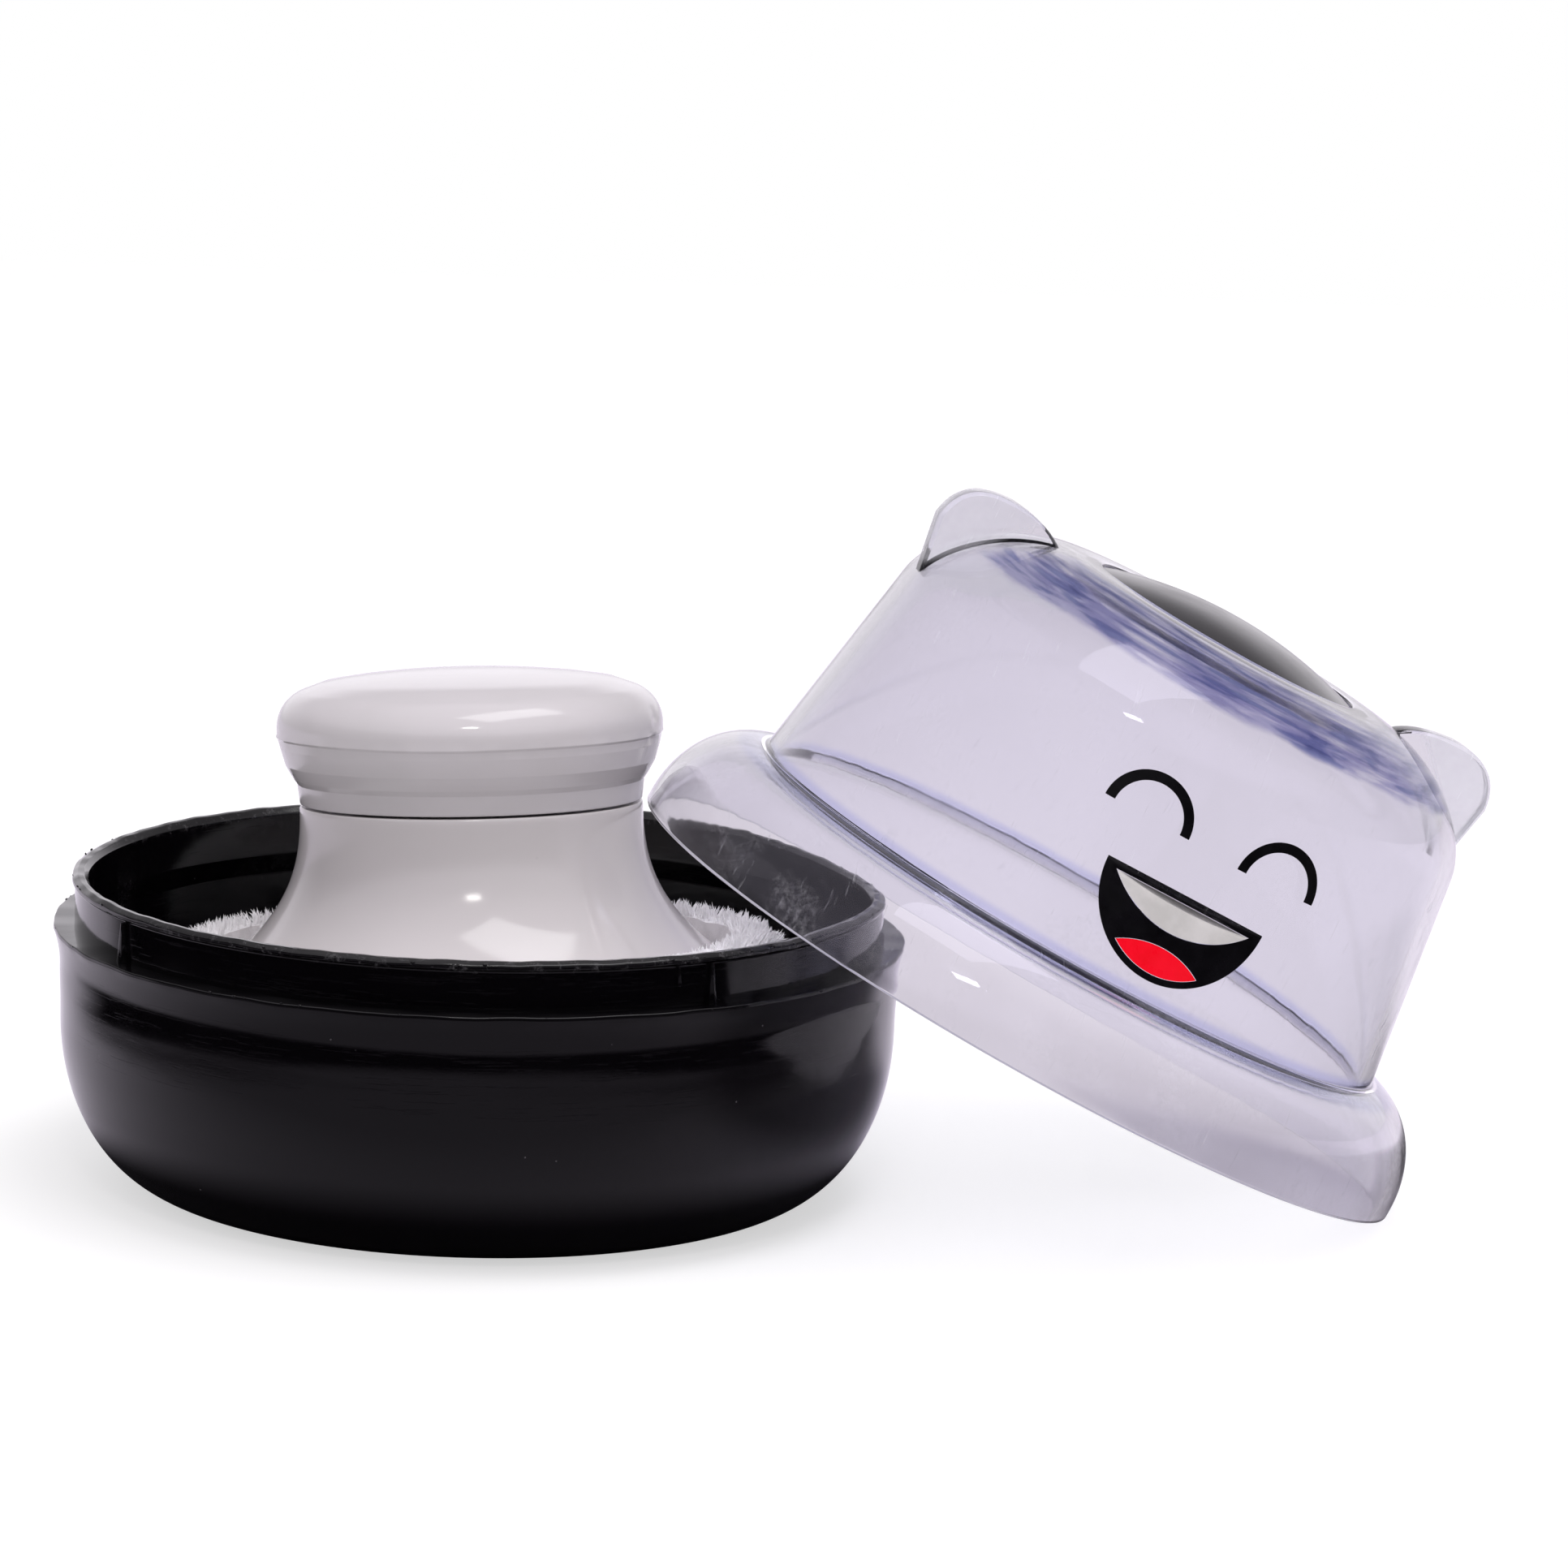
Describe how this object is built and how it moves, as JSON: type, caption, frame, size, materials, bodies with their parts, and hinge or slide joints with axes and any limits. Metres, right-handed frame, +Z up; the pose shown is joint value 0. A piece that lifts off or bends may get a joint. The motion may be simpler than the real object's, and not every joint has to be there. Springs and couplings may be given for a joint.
{
  "type": "powder puff box",
  "caption": "Round open powder box: black bowl, plush puff with a mushroom handle, and a clear lid with bear ears and a laughing face leaning against it.",
  "frame": {"origin": "centre of the bowl's flat base, on the surface that the box stands on", "axes": "+Z up out of the bowl, +X towards the leaning lid, -Y the side that the printed face looks to"},
  "size_m": [0.1686, 0.1022, 0.0847],
  "materials": {
    "bowl": "black gloss moulded plastic with fine scratches and powder specks",
    "handle": "white gloss moulded plastic",
    "disc": "plain white moulded plastic, hidden inside the puff",
    "foam": "cream upholstery foam, hidden inside the plush",
    "plush": "white long pile plush",
    "clear_lid": "clear moulded plastic with a faint lilac tint, darker and bluer where it is thick",
    "dome": "black gloss plastic",
    "black_ink": "black printing ink",
    "white_ink": "warm grey-white printing ink",
    "red_ink": "red printing ink"
  },
  "bodies": {
    "bowl": {"bowl": "bowl"},
    "puff": {"handle_cap": "handle", "handle_bell": "handle", "backing_disc": "disc", "foam_core": "foam", "plush_cover": "plush"},
    "lid": {"lid_shell": "clear_lid", "lid_dome": "dome", "print_left_eye": "black_ink", "print_right_eye": "black_ink", "print_mouth": "black_ink", "print_teeth": "white_ink", "print_tongue": "red_ink"}
  },
  "joints": [
    {"name": "puff_lift", "type": "slide", "parent": "bowl", "child": "puff", "axis": [-0.5299, 0, 0.848], "range_m": [0, 0.06], "deforming": ["plush_cover"]},
    {"name": "lid_lift", "type": "slide", "parent": "bowl", "child": "lid", "axis": [0.4602, 0.0449, 0.8867], "range_m": [0, 0.05]}
  ]
}
